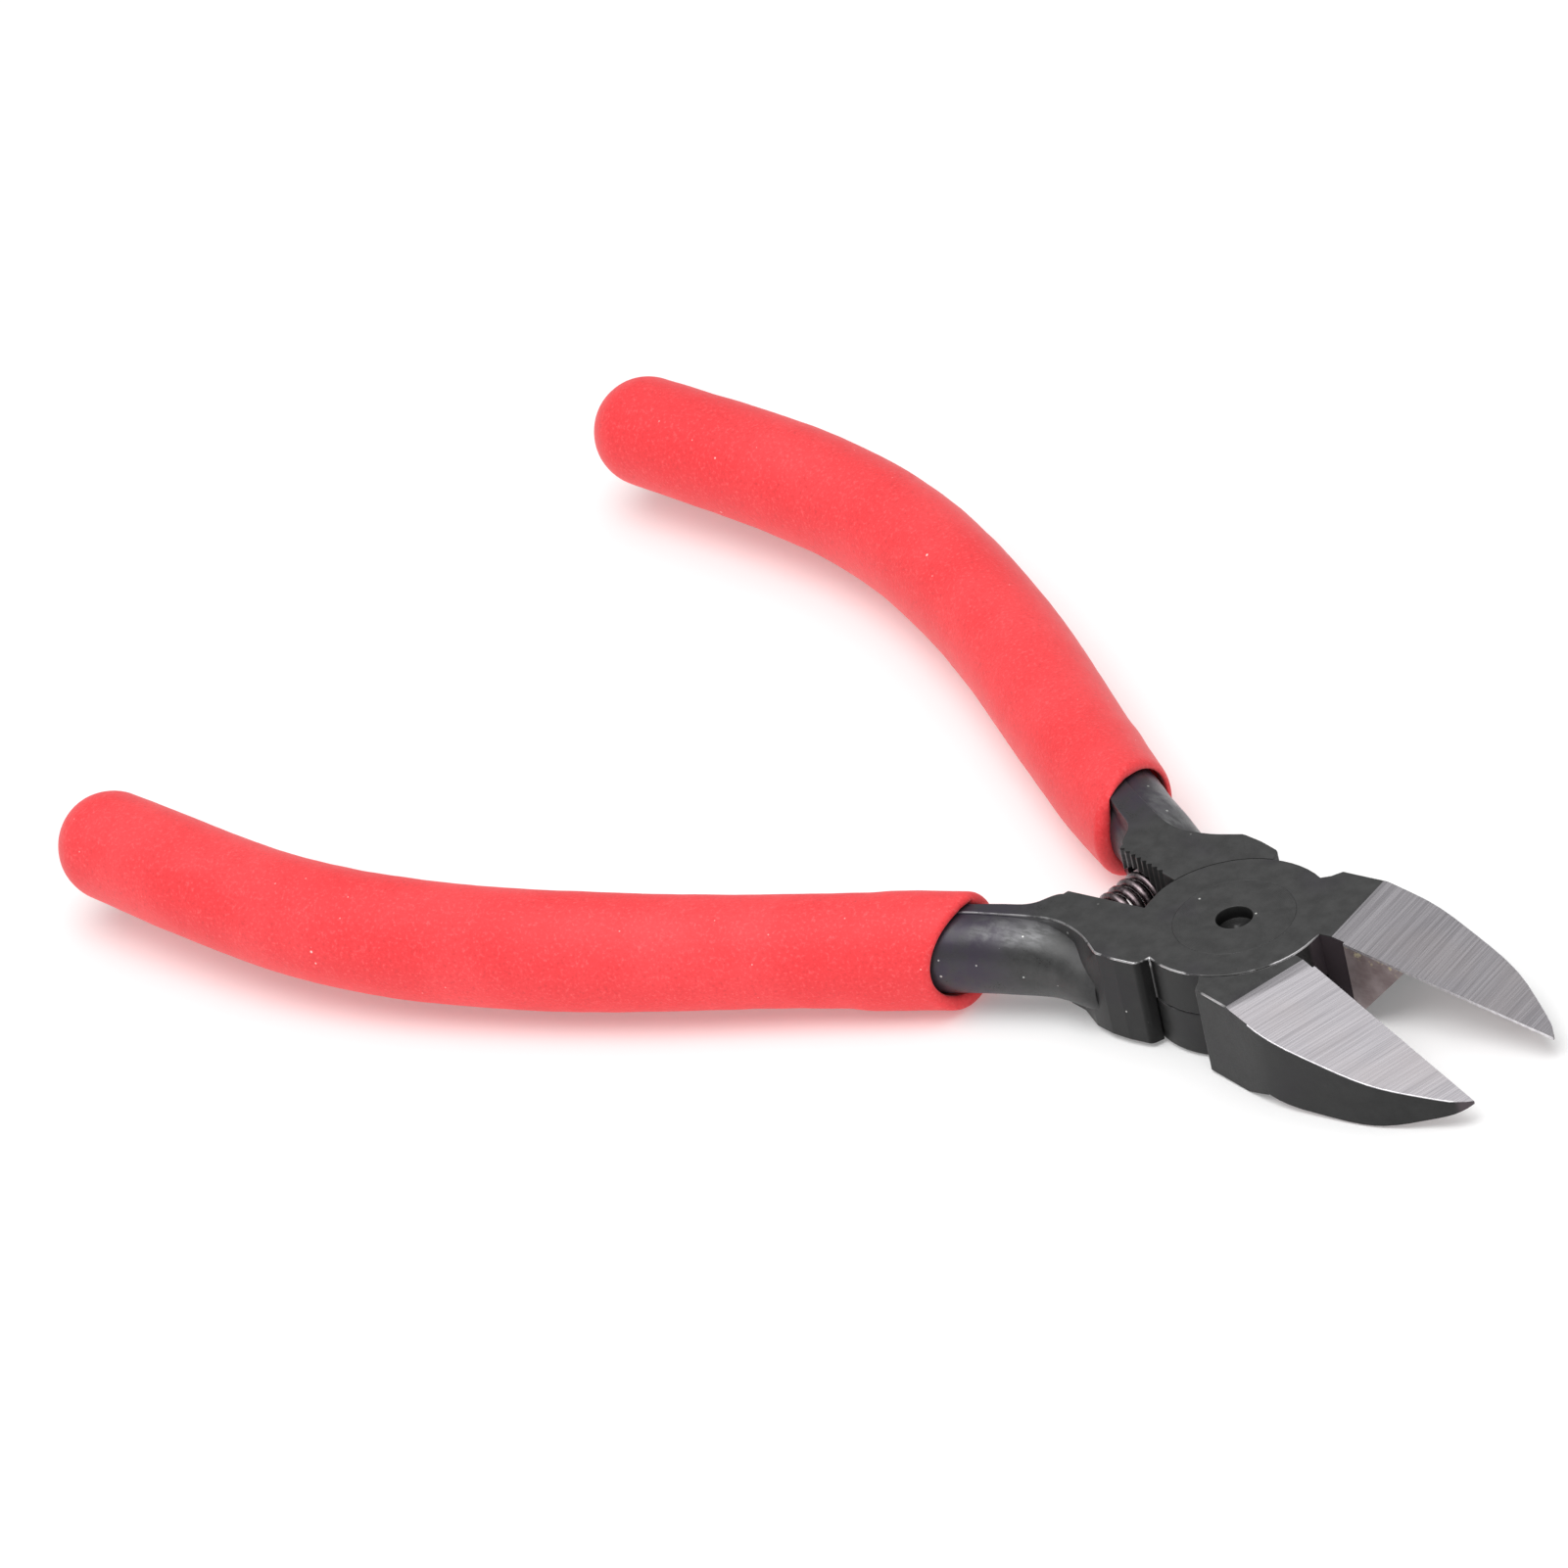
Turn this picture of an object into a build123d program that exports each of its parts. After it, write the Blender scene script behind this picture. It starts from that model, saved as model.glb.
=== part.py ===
from build123d import *
import math
import os

# Diagonal cutting pliers with a lap joint, a return spring and soft sleeves, lying flat.
# +X points at the jaw tips, +Y to the left handle and +Z up. The pivot axis is x = y = 0, and the
# flat underside of the head is z = 0. The upper half owns the left jaw and the right handle. Every
# piece is drawn with the tool closed, and each half is then turned open by SPREAD.
# Lengths are in mm and angles in degrees.

SPREAD = 9.4  # opening of each half when the spring is relaxed

# head and lap joint
HEAD_THICKNESS = 9.1
LAP_RADIUS = 9.05
LAP_SIDE_GAP = 0.1  # between a round lap and the hollow arc beside it
LAP_FACE_GAP = 0.04  # between the two lap faces
LEFT_STOP = 0.35  # from the mid plane to the flat inner face of the left handle
RIGHT_STOP = 1.35
STOP_GROOVES = 8  # across the left handle's stop face
STOP_GROOVE_PITCH = 0.8
STOP_GROOVE_DEPTH = 0.3
STOP_GROOVE_FIRST = -16.9
CORNER_ROUND = 0.8

# jaw
JAW_TIP = 33.4
JAW_HALF_WIDTH = 9.5
CUTTING_GAP = 0.05  # from the mid plane to the cutting edge
THROAT_RELIEF = 0.3  # from the mid plane to the wall behind the cutting edge
EDGE_START = 11.7
SLOPE_START = 10.4  # where the top of the jaw starts to slope down
SLOPE_ANGLE = 14.25
EDGE_LAND = 0.3  # height of the upright land under the cutting edge
UNDERCUT_ANGLE = 35.2
THROAT_START = 11.1  # where the undercut runs out, at the underside
FLANK_RAMP = 3.5  # length over which it runs out beside the flank
FLANK_RAMP_HEIGHT = 1.05
FLANK_RAMP_WIDTH = 1.6

# bar, the oval handle that runs into the grip
BAR_SECTIONS = [  # x, y of the middle, half width, lowest z, highest z
    (-10.5, 5.8, 3.0, 0.9, 6.4), (-13.4, 5.65, 3.5, 0.9, 7.4), (-16.6, 5.6, 3.55, 0.9, 8.25),
    (-19.4, 6.2, 3.6, 0.9, 8.75), (-22.2, 6.9, 3.6, 0.9, 8.9), (-25.9, 8.0, 3.6, 0.9, 8.9),
    (-29.5, 9.1, 3.5, 0.9, 8.8), (-45.5, 14.25, 3.0, 1.2, 8.0), (-65.5, 20.5, 2.7, 1.4, 7.8),
    (-86.4, 23.2, 2.5, 1.5, 7.6), (-104, 20.9, 2.4, 1.5, 7.6),
]
STRIP_LOW = 0.7  # underside of the flat strip along the bar
STRIP_START = 0.55  # from the stop face to the inner side of the strip

# grip
GRIP_SIZES = [  # share of the spine's length, half width, half height
    (0, 4.75, 5.5), (0.1, 4.95, 5.5), (0.3, 5.3, 5.25),
    (0.5, 5.3, 5.7), (0.75, 5.4, 5.45), (1, 5.15, 5.15),
]
MOUTH_GAP = 0.3  # round the bar, inside the mouth
MOUTH_SECTIONS = slice(2, 7)  # of the bar, beside the mouth

# rivet
SHANK_RADIUS = 3.0
RIVET_HEAD_RADIUS = 5.75
RIVET_HEAD_THICKNESS = 1.6
RIVET_RUNNING_GAP = 0.03
DIMPLE_RADIUS = 1.75
DIMPLE_DEPTH = 1.3
DRILL_POINT_DEPTH = 0.5

# spring
WIRE_RADIUS = 0.42
COIL_RADIUS = 2.25  # to the middle of the wire
SPRING_TURNS = 9.6
SPRING_LENGTH = 10.86  # between the middles of the wire's ends
SPRING_PLACE = -14.6
POCKET_PLACE = -15.2
POCKET_RADIUS = 3.0
POCKET_FLOOR = 4.0  # from the mid plane

MID_Z = HEAD_THICKNESS / 2
BEYOND = 60  # clear of the head, for cutting blocks


def plan_block(edges, low=0, high=HEAD_THICKNESS):
    """An upright block over a closed chain of lines and curves."""
    return extrude(Pos(0, 0, low) * make_face(edges), high - low)


def side_block(*points):
    """A block across the whole tool over a closed outline of (x, z) points."""
    outline = Polyline(*[(x, 0, z) for x, z in points], close=True)
    return extrude(make_face(outline), BEYOND, dir=(0, 1, 0), both=True)


def disc(radius, low, high):
    return Pos(0, 0, (low + high) / 2) * Cylinder(radius, high - low)


def undercut():
    """Hollow under the left cutting edge. Its roof slopes down from the edge towards the flank,
    and the slanted wall at its back is the end of the throat. It runs out gently beside the flank."""
    roof = HEAD_THICKNESS - EDGE_LAND
    fall = math.tan(math.radians(UNDERCUT_ANGLE))
    near, far = -1, JAW_HALF_WIDTH + 2
    section = Polyline(
        (SLOPE_START, near, roof + fall * (CUTTING_GAP - near)),
        (SLOPE_START, far, roof + fall * (CUTTING_GAP - far)),
        (SLOPE_START, far, -BEYOND),
        (SLOPE_START, near, -BEYOND),
        close=True,
    )
    along_edge = (1, 0, -math.tan(math.radians(SLOPE_ANGLE)))
    hollow = extrude(make_face(section), BEYOND, dir=along_edge)
    reach = HEAD_THICKNESS + 1
    in_front = side_block(
        (THROAT_START - reach, -reach), (THROAT_START + reach, reach), (BEYOND, reach), (BEYOND, -reach)
    )
    start, ramp_end = THROAT_START - 1, THROAT_START + FLANK_RAMP
    inside = JAW_HALF_WIDTH - FLANK_RAMP_WIDTH
    ramp = [(start, 0), (THROAT_START, 0), (ramp_end, FLANK_RAMP_HEIGHT), (ramp_end, reach), (start, reach)]
    ramp_side = make_face(Polyline(*[(x, inside, z) for x, z in ramp], close=True))
    return (hollow & in_front) - extrude(ramp_side, FLANK_RAMP_WIDTH + 1, dir=(0, 1, 0))


def jaw():
    """Left jaw, from the lap to the tip."""
    flank = Spline(
        (13.3, JAW_HALF_WIDTH), (20.6, 8.0), (26.3, 5.85), (30.7, 2.85), (JAW_TIP, CUTTING_GAP),
        tangents=[(1, 0), (0.5, -1)],
    )
    rest = Polyline(
        (JAW_TIP, CUTTING_GAP), (EDGE_START, CUTTING_GAP), (EDGE_START, THROAT_RELIEF),
        (6, THROAT_RELIEF), (3.6, 7.2), (5.2, 8.55), (5.9, JAW_HALF_WIDTH), (13.3, JAW_HALF_WIDTH),
    )
    drop = (JAW_TIP - SLOPE_START) * math.tan(math.radians(SLOPE_ANGLE))
    above_slope = side_block(
        (SLOPE_START, HEAD_THICKNESS), (JAW_TIP, HEAD_THICKNESS - drop),
        (JAW_TIP + 1, HEAD_THICKNESS + 1), (SLOPE_START, HEAD_THICKNESS + 1),
    )
    return plan_block([flank, rest]) - above_slope - undercut()


def shoulder(stop_face, grooves):
    """Left handle from the lap to the waist, with the stop face on its inner side, flat or grooved.
    The top of its back is cut away on a slope, and the underside reaches further back."""
    outline = Polyline(
        (-4.0, 7.4), (-4.3, 8.2), (-4.9, 9.25), (-7.4, 9.25), (-9.4, 9.0), (-11.5, 8.3), (-13.9, 6.6),
        (-15.8, 6.0), (-17.5, stop_face + STRIP_START), (-17.3, stop_face), (-7, stop_face), (-4, 4),
        close=True,
    )
    block = plan_block(outline)
    corners = block.edges().filter_by(Axis.Z).filter_by_position(Axis.Y, 8.2, 9.3)
    block = fillet(corners, CORNER_ROUND)
    top_line, lean = Vector(-3.9, -3.0, 0), Vector(-2.7, -0.6, -MID_Z)
    back = Plane((-9.6, 9.0, HEAD_THICKNESS), x_dir=top_line, z_dir=lean.cross(top_line))
    block -= back * Pos(0, 0, BEYOND / 2) * Box(BEYOND, BEYOND, BEYOND)
    for i in range(grooves):
        x = STOP_GROOVE_FIRST + i * STOP_GROOVE_PITCH
        side = STOP_GROOVE_DEPTH * math.sqrt(2)
        block -= Pos(x, stop_face, MID_Z) * Rot(0, 0, 45) * Box(side, side, HEAD_THICKNESS + 1)
    return block


def strip(stop_face):
    """Flat strip level with the head's top, from the shoulder along the bar into the grip's mouth."""
    ridge = Spline(
        (-9.6, 8.9), (-11.0, 7.9), (-12.1, 7.15), (-13.6, 6.4), (-15.4, 5.85), (-17.5, 5.8),
        (-20.0, 6.3), (-22.5, 6.85), (-28.0, 8.4),
    )
    inner = Spline(
        (-17.5, 0), (-18.3, 0.6), (-19.1, 1.8), (-20.2, 2.6), (-21.5, 3.0), (-23.5, 3.65), (-28.0, 5.4),
    )
    inner = Pos(0, stop_face + STRIP_START, 0) * inner
    across = Polyline(inner @ 0, (-15.8, inner.position_at(0).Y), (-10.0, 4.0), ridge @ 0)
    return plan_block([ridge, Line(ridge @ 1, inner @ 1), inner, across], STRIP_LOW)


def bar(sections, gap=0):
    """Left handle's oval bar through the given sections, grown by a gap all round."""
    ovals = []
    for i, (x, y, half_width, low, high) in enumerate(sections):
        before, after = sections[max(i - 1, 0)], sections[min(i + 1, len(sections) - 1)]
        along = Vector(after[0] - before[0], after[1] - before[1], 0)
        plane = Plane((x, y, (low + high) / 2), x_dir=(0, 0, 1), z_dir=along)
        ovals.append(plane * Ellipse((high - low) / 2 + gap, half_width + gap))
    return loft(ovals)


def handle(stop_face, grooves=0):
    """Left handle without its grip."""
    return shoulder(stop_face, grooves) + strip(stop_face) + bar(BAR_SECTIONS) - pocket()


def handle_spine():
    """Middle line of the left handle in plan, from the waist to the centre of the domed end."""
    return Spline(
        (-18.6, 5.3), (-25.9, 7.45), (-45.5, 14.25), (-65.5, 20.5),
        (-86.4, 23.2), (-99, 21.8), (-112.7, 19.1),
    )


def pocket():
    """Blind hole for the spring's end, square to the left handle's stop face."""
    return Pos(POCKET_PLACE, POCKET_FLOOR / 2, MID_Z) * Rot(90, 0, 0) * Cylinder(POCKET_RADIUS, POCKET_FLOOR)


def oval_tube(sizes):
    """Tube along the spine through ovals, each at a share of the spine's length."""
    spine = handle_spine()
    ovals = []
    for share, half_width, half_height in sizes:
        centre = spine @ share + Vector(0, 0, MID_Z)
        ovals.append(Plane(centre, x_dir=(0, 0, 1), z_dir=spine % share) * Ellipse(half_height, half_width))
    return loft(ovals)


def grip(stop_face):
    """Left handle's sleeve: oval, fuller in the palm, domed at the end. The mouth is cut on a
    slant, so that a tongue reaches further forward on the inner side."""
    spine = handle_spine()
    end = Plane(spine @ 1 + Vector(0, 0, MID_Z), z_dir=spine % 1)
    base_down = (Align.CENTER, Align.CENTER, Align.MIN)
    dome = end * Sphere(GRIP_SIZES[-1][1], arc_size1=0, arc_size2=90, align=base_down)
    sleeve = oval_tube(GRIP_SIZES) + dome
    slant = ThreePointArc((-26.9, 13.5), (-24.8, 6.5), (-21.2, 0.0))
    ahead = Polyline(slant @ 1, (0, 0), (0, 13.5), slant @ 0)
    sleeve -= plan_block([slant, ahead], -BEYOND, BEYOND)
    return sleeve - bar(BAR_SECTIONS[MOUTH_SECTIONS], MOUTH_GAP) - bar(BAR_SECTIONS) - strip(stop_face)


def rivet():
    """Shank with a flush head at each end and a drilled dimple in the top."""
    body = disc(SHANK_RADIUS, 0, HEAD_THICKNESS)
    body += disc(RIVET_HEAD_RADIUS, 0, RIVET_HEAD_THICKNESS)
    body += disc(RIVET_HEAD_RADIUS, HEAD_THICKNESS - RIVET_HEAD_THICKNESS, HEAD_THICKNESS)
    floor = HEAD_THICKNESS - DIMPLE_DEPTH
    drill_point = Pos(0, 0, floor - DRILL_POINT_DEPTH / 2) * Cone(0.1, DIMPLE_RADIUS, DRILL_POINT_DEPTH)
    return body - disc(DIMPLE_RADIUS, floor, HEAD_THICKNESS) - drill_point


def rivet_space(gap):
    """Room for the rivet: touching it in the upper half, running round it in the lower half."""
    head = RIVET_HEAD_THICKNESS + gap
    space = disc(SHANK_RADIUS + gap, 0, HEAD_THICKNESS) + disc(RIVET_HEAD_RADIUS + gap, 0, head)
    return space + disc(RIVET_HEAD_RADIUS + gap, HEAD_THICKNESS - head, HEAD_THICKNESS)


def spring():
    """Compression coil across the gap between the handles, resting in the two pockets."""
    path = Helix(SPRING_LENGTH / SPRING_TURNS, SPRING_LENGTH, COIL_RADIUS)
    wire = sweep(Plane(path @ 0, z_dir=path % 0) * Circle(WIRE_RADIUS), path, is_frenet=True)
    return Pos(SPRING_PLACE, SPRING_LENGTH / 2, MID_Z) * Rot(90, 0, 0) * wire


def upper_half():
    """Left jaw and right handle, joined by the lap on top."""
    body = jaw() + mirror(handle(RIGHT_STOP), Plane.XZ)
    body -= disc(LAP_RADIUS + LAP_SIDE_GAP, 0, MID_Z + LAP_FACE_GAP / 2)
    body += disc(LAP_RADIUS, MID_Z + LAP_FACE_GAP / 2, HEAD_THICKNESS)
    return body - rivet_space(0)


def lower_half():
    """Right jaw and left handle, joined by the lap below."""
    body = mirror(jaw(), Plane.XZ) + handle(LEFT_STOP, STOP_GROOVES)
    body -= disc(LAP_RADIUS + LAP_SIDE_GAP, MID_Z - LAP_FACE_GAP / 2, HEAD_THICKNESS)
    body += disc(LAP_RADIUS, 0, MID_Z - LAP_FACE_GAP / 2)
    return body - rivet_space(RIVET_RUNNING_GAP)


parts = {
    "upper_half": Rot(0, 0, SPREAD) * upper_half(),
    "right_grip": Rot(0, 0, SPREAD) * mirror(grip(RIGHT_STOP), Plane.XZ),
    "lower_half": Rot(0, 0, -SPREAD) * lower_half(),
    "left_grip": Rot(0, 0, -SPREAD) * grip(LEFT_STOP),
    "pivot_rivet": rivet(),
    "return_spring": spring(),
}

os.makedirs("parts", exist_ok=True)
for name, part in parts.items():
    export_step(part, f"parts/{name}.step")
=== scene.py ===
import math

import bmesh
import bpy
import numpy as np
from mathutils import Matrix, Vector, noise

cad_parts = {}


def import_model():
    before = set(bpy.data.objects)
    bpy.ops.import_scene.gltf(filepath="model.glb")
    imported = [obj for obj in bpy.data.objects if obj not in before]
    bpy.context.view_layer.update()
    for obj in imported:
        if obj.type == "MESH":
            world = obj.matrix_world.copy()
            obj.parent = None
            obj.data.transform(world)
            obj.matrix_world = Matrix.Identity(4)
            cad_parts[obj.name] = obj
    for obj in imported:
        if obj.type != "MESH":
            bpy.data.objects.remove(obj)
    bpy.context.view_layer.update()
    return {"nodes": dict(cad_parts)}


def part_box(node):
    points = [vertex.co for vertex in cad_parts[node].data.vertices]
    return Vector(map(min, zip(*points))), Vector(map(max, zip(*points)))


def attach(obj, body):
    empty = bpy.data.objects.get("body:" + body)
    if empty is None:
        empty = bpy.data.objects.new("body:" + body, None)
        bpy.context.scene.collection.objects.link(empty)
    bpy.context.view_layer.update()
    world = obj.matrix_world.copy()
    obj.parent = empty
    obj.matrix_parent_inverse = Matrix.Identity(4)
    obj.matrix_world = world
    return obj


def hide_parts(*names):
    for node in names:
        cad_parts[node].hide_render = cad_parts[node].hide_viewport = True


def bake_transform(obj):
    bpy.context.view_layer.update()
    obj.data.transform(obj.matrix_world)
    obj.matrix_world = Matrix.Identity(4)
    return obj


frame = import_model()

# Diagonal cutting pliers. Pieces are drawn in mm with the tool closed, jaws at +X and the left
# handle at +Y, and each half is then turned open by SPREAD: the upper half (left jaw, right handle)
# to the left, the lower half (right jaw, left handle) to the right.
MM = 0.001
SPREAD = math.radians(9.4)
TURN = {"upper": SPREAD, "lower": -SPREAD}
HEAD_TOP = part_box("upper_half")[1].z / MM
MID_Z = HEAD_TOP / 2
LAP_RADIUS = 9.05
RIVET_RADIUS = 5.75
SLOPE = math.radians(14.25)  # of the ground jaw tops
SLOPE_START = 10.4
EDGE_LAND = 0.3  # height of the honed land under the cutting edge
FLANK_START, JAW_TIP = 11.0, 33.4


# ---------------------------------------------------------------- materials

def grey(level):
    return level, level, level, 1


# Where the skin changes, and where painted shade and painted highlight lie, in closed mm. A pair is
# where a change starts and where it is complete.
# Four numbers are the start, the two ends of the full stretch, and the end.
BAR_SKIN = (-12.5, -15.5)
HEAD_SIDES_SHADE = (-12.0, -9.0)
SIDES = (HEAD_TOP - 0.02, HEAD_TOP - 0.2)  # below the top faces
NOTCH = (-5.5, -4.9, -3.8, -3.0)  # painted shade inside the notch, beside the lap
THROAT, THROAT_WIDTH = (7.6, 8.4), (1.6, 1.0)
BAR_HIGHLIGHT_ALONG = (-24.5, -21.0, -17.5, -15.0)  # painted highlight on the bars, a light patch in place of a lamp's reflection
BAR_HIGHLIGHT_UP = (6.9, 8.0, 8.8, 9.0)
MOUTH_TINT = (-17.0, -23.0)  # violet towards the sleeves
WORN_UP = (HEAD_TOP - 1.2, HEAD_TOP - 0.3)
WORN_RIGHT, WORN_BEHIND, WORN_HEAD = (-2.0, -6.0), (2.5, 0.0), (-12.5, -10.0)
WORN_FRONT = (5.5, 7.5)
DIMPLE_DEPTH, DIMPLE_FLOOR = (HEAD_TOP - 0.15, HEAD_TOP - 0.9), (1.1, 0.8)

OXIDE_GLOSS = {"Metallic": 0.35, "Specular_IOR_Level": 0.32}


class Material:
    """A Principled material with helpers for its nodes. Places are in closed mm, as drawn."""

    def __init__(self, name, **values):
        self.data = bpy.data.materials.new(name)
        self.data.use_nodes = True
        self.tree = self.data.node_tree
        self.shader = self.tree.nodes["Principled BSDF"]
        for key, value in values.items():
            self.shader.inputs[key.replace("_", " ")].default_value = value

    def fill(self, socket, value):
        if isinstance(value, bpy.types.NodeSocket):
            self.tree.links.new(value, socket)
        else:
            socket.default_value = value

    def node(self, kind, inputs, **settings):
        made = self.tree.nodes.new(kind)
        for key, value in settings.items():
            setattr(made, key, value)
        for key, value in inputs.items():
            self.fill(made.inputs[key], value)
        return made

    def place(self, scale=(1, 1, 1)):
        """The closed-tool position in mm, stored on the mesh, stretched by scale."""
        stored = self.node("ShaderNodeAttribute", {}, attribute_name="closed_mm")
        return self.node("ShaderNodeMapping", {
            "Vector": stored.outputs["Vector"], "Scale": scale}).outputs[0]

    def axes(self):
        return self.node("ShaderNodeSeparateXYZ", {0: self.place()}).outputs

    def noise(self, scale, detail=2.0, roughness=0.5, stretch=(1, 1, 1)):
        return self.node("ShaderNodeTexNoise", {
            "Vector": self.place(stretch), "Scale": scale, "Detail": detail,
            "Roughness": roughness}).outputs[0]

    def band(self, value, low, high, to_low=0.0, to_high=1.0):
        """value from low..high becomes to_low..to_high, smoothly and clamped."""
        return self.node("ShaderNodeMapRange", {
            "Value": value, "From Min": low, "From Max": high, "To Min": to_low, "To Max": to_high,
        }, interpolation_type="SMOOTHSTEP").outputs[0]

    def window(self, value, start, full, full_end, end):
        """1 from full to full_end, falling to 0 at start and end."""
        return self.both(self.band(value, start, full), self.band(value, end, full_end))

    def math(self, operation, a, b=0.0, c=0.0):
        return self.node("ShaderNodeMath", {0: a, 1: b, 2: c}, operation=operation).outputs[0]

    def both(self, a, b):
        return self.math("MULTIPLY", a, b)

    def blend(self, share, first, second, mode="MIX"):
        """Mix of two colours."""
        made = self.node("ShaderNodeMix", {}, data_type="RGBA", blend_type=mode)
        for index, value in ((0, share), (6, first), (7, second)):
            self.fill(made.inputs[index], value)
        return made.outputs[2]

    def specks(self, spacing, chance, radius, seed):
        """1 inside round specks of dust of radius mm, one per spacing mm where chance allows."""
        moved = self.node("ShaderNodeVectorMath", {
            0: self.place(), 1: (seed, seed * 1.7, seed * 0.6)}, operation="ADD").outputs[0]
        cells = self.node("ShaderNodeTexVoronoi", {"Vector": moved, "Scale": 1 / spacing}).outputs
        inside = self.band(cells["Distance"], radius / spacing, 0.6 * radius / spacing)
        pick = self.node("ShaderNodeSeparateColor", {0: cells["Color"]}).outputs[0]
        return self.both(inside, self.math("LESS_THAN", pick, chance))

    def finish(self, colour, roughness, height=None, depth=0.0, metallic=None):
        """Links the colour and roughness, and a bump depth mm deep."""
        self.fill(self.shader.inputs["Base Color"], colour)
        self.fill(self.shader.inputs["Roughness"], roughness)
        if metallic is not None:
            self.fill(self.shader.inputs["Metallic"], metallic)
        if height is not None:
            bump = self.node("ShaderNodeBump", {
                "Height": height, "Distance": depth * MM, "Strength": 1.0}).outputs[0]
            self.fill(self.shader.inputs["Normal"], bump)
        return self.data


def oxide_layers(m):
    """Colour, roughness and height of a black-oxide skin on forged steel, with painted shade on the
    head's sides and in the notch, and a painted highlight on the bars.
    """
    mottle = m.noise(0.55, 5.0, 0.62)
    grain = m.noise(7.0, 3.0, 0.6)
    warm = m.noise(0.16)
    streaks = m.noise(1.0, 3.0, 0.6, stretch=(0.5, 2.0, 2.6))
    along, across, up = m.axes()
    sides = m.band(up, *SIDES)
    on_bar = m.band(along, *BAR_SKIN)

    colour = m.blend(m.band(mottle, 0.3, 0.72), grey(0.047), grey(0.072))
    colour = m.blend(m.band(warm, 0.5, 0.75, 0, 0.5), colour, (0.048, 0.042, 0.054, 1))
    colour = m.blend(m.band(grain, 0.35, 0.7, 0, 0.35), colour, (0.072, 0.073, 0.073, 1))
    # painted shade: the head's sides, below its top faces, darkened to 0.43 of their colour
    colour = m.blend(m.both(sides, m.band(along, *HEAD_SIDES_SHADE)), colour, grey(0.43), "MULTIPLY")
    # painted shade: the notch beside the lap darkened to 0.25 of its colour
    colour = m.blend(m.both(sides, m.window(along, *NOTCH)), colour, grey(0.25), "MULTIPLY")
    throat = m.both(m.band(along, *THROAT), m.band(m.math("ABSOLUTE", across), *THROAT_WIDTH))
    colour = m.blend(m.both(sides, throat), colour, (0.075, 0.06, 0.068, 1))
    # painted highlight: a streaky light grey patch high on the bars stands in for a lamp's
    # reflection
    wear_and_highlight = m.both(m.window(along, *BAR_HIGHLIGHT_ALONG), m.window(up, *BAR_HIGHLIGHT_UP))
    wear_and_highlight = m.both(wear_and_highlight, m.band(streaks, 0.35, 0.6, 0.35, 0.95))
    colour = m.blend(wear_and_highlight, colour, (0.17, 0.17, 0.175, 1))
    violet = m.both(m.band(along, *MOUTH_TINT), m.band(mottle, 0.35, 0.6, 0.3, 1.0))
    colour = m.blend(violet, colour, (0.052, 0.044, 0.062, 1))
    colour = m.blend(m.specks(2.2, 0.16, 0.13, 3.0), colour, (0.62, 0.62, 0.6, 1))
    colour = m.blend(m.both(m.specks(1.1, 0.2, 0.14, 7.0), on_bar), colour, (0.5, 0.5, 0.49, 1))

    rough = m.math("ADD", m.band(mottle, 0.3, 0.75, 0.40, 0.50),
                   m.band(grain, 0.3, 0.7, -0.04, 0.05))
    rough = m.math("SUBTRACT", rough, m.both(on_bar, 0.1))
    height = m.math("MULTIPLY_ADD", mottle, 1.5, grain)
    return colour, rough, height


def black_oxide():
    m = Material("black_oxide", **OXIDE_GLOSS)
    return m.finish(*oxide_layers(m), 0.012)


def worn_edge():
    """Oxide worn through to bright steel, in patches, along the upper edges of the near side."""
    m = Material("worn_edge", **OXIDE_GLOSS)
    colour, rough, height = oxide_layers(m)
    patches = m.noise(0.42, 2.0, 0.45)
    fine = m.noise(3.2, 2.0, 0.6)
    along, across, up = m.axes()
    near_side = m.both(m.band(across, *WORN_RIGHT, 0.04), m.band(along, *WORN_BEHIND, 0.03))
    near_side = m.both(near_side, m.band(along, *WORN_HEAD, 0.3))
    exposed = m.math("MAXIMUM", near_side, m.band(along, *WORN_FRONT))
    exposed = m.both(m.band(up, *WORN_UP, 0.1), exposed)
    wear_and_highlight = m.both(m.band(m.math("MULTIPLY_ADD", fine, 0.22, patches), 0.48, 0.64), exposed)
    colour = m.blend(wear_and_highlight, colour, (0.6, 0.59, 0.6, 1))
    rough = m.math("SUBTRACT", rough, m.both(wear_and_highlight, 0.12))
    bare = m.band(wear_and_highlight, 0, 1, OXIDE_GLOSS["Metallic"], 1.0)
    return m.finish(colour, rough, height, 0.008, metallic=bare)


def ground_steel():
    """Jaw tops, surface ground straight across the jaw."""
    m = Material("ground_steel", Metallic=1.0)
    lines = m.noise(1.0, stretch=(6.0, 0.09, 0.3))
    broad = m.noise(1.0, stretch=(2.4, 0.06, 0.3))
    hair = m.noise(1.0, 2.0, 0.6, stretch=(13.0, 0.12, 0.3))
    colour = m.blend(m.band(lines, 0.32, 0.68), (0.50, 0.48, 0.51, 1), (0.67, 0.645, 0.68, 1))
    colour = m.blend(m.band(broad, 0.35, 0.65, 0, 0.35), colour, (0.72, 0.69, 0.725, 1))
    colour = m.blend(m.band(m.noise(0.12), 0.45, 0.7, 0, 0.3), colour, (0.66, 0.60, 0.60, 1))
    colour = m.blend(m.specks(2.6, 0.12, 0.1, 9.0), colour, (0.95, 0.95, 0.93, 1))
    rough = m.math("ADD", m.band(lines, 0.3, 0.7, 0.23, 0.265), m.band(hair, 0.3, 0.7, -0.02, 0.02))
    return m.finish(colour, rough, m.math("MULTIPLY_ADD", hair, 0.5, lines), 0.004)


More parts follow.
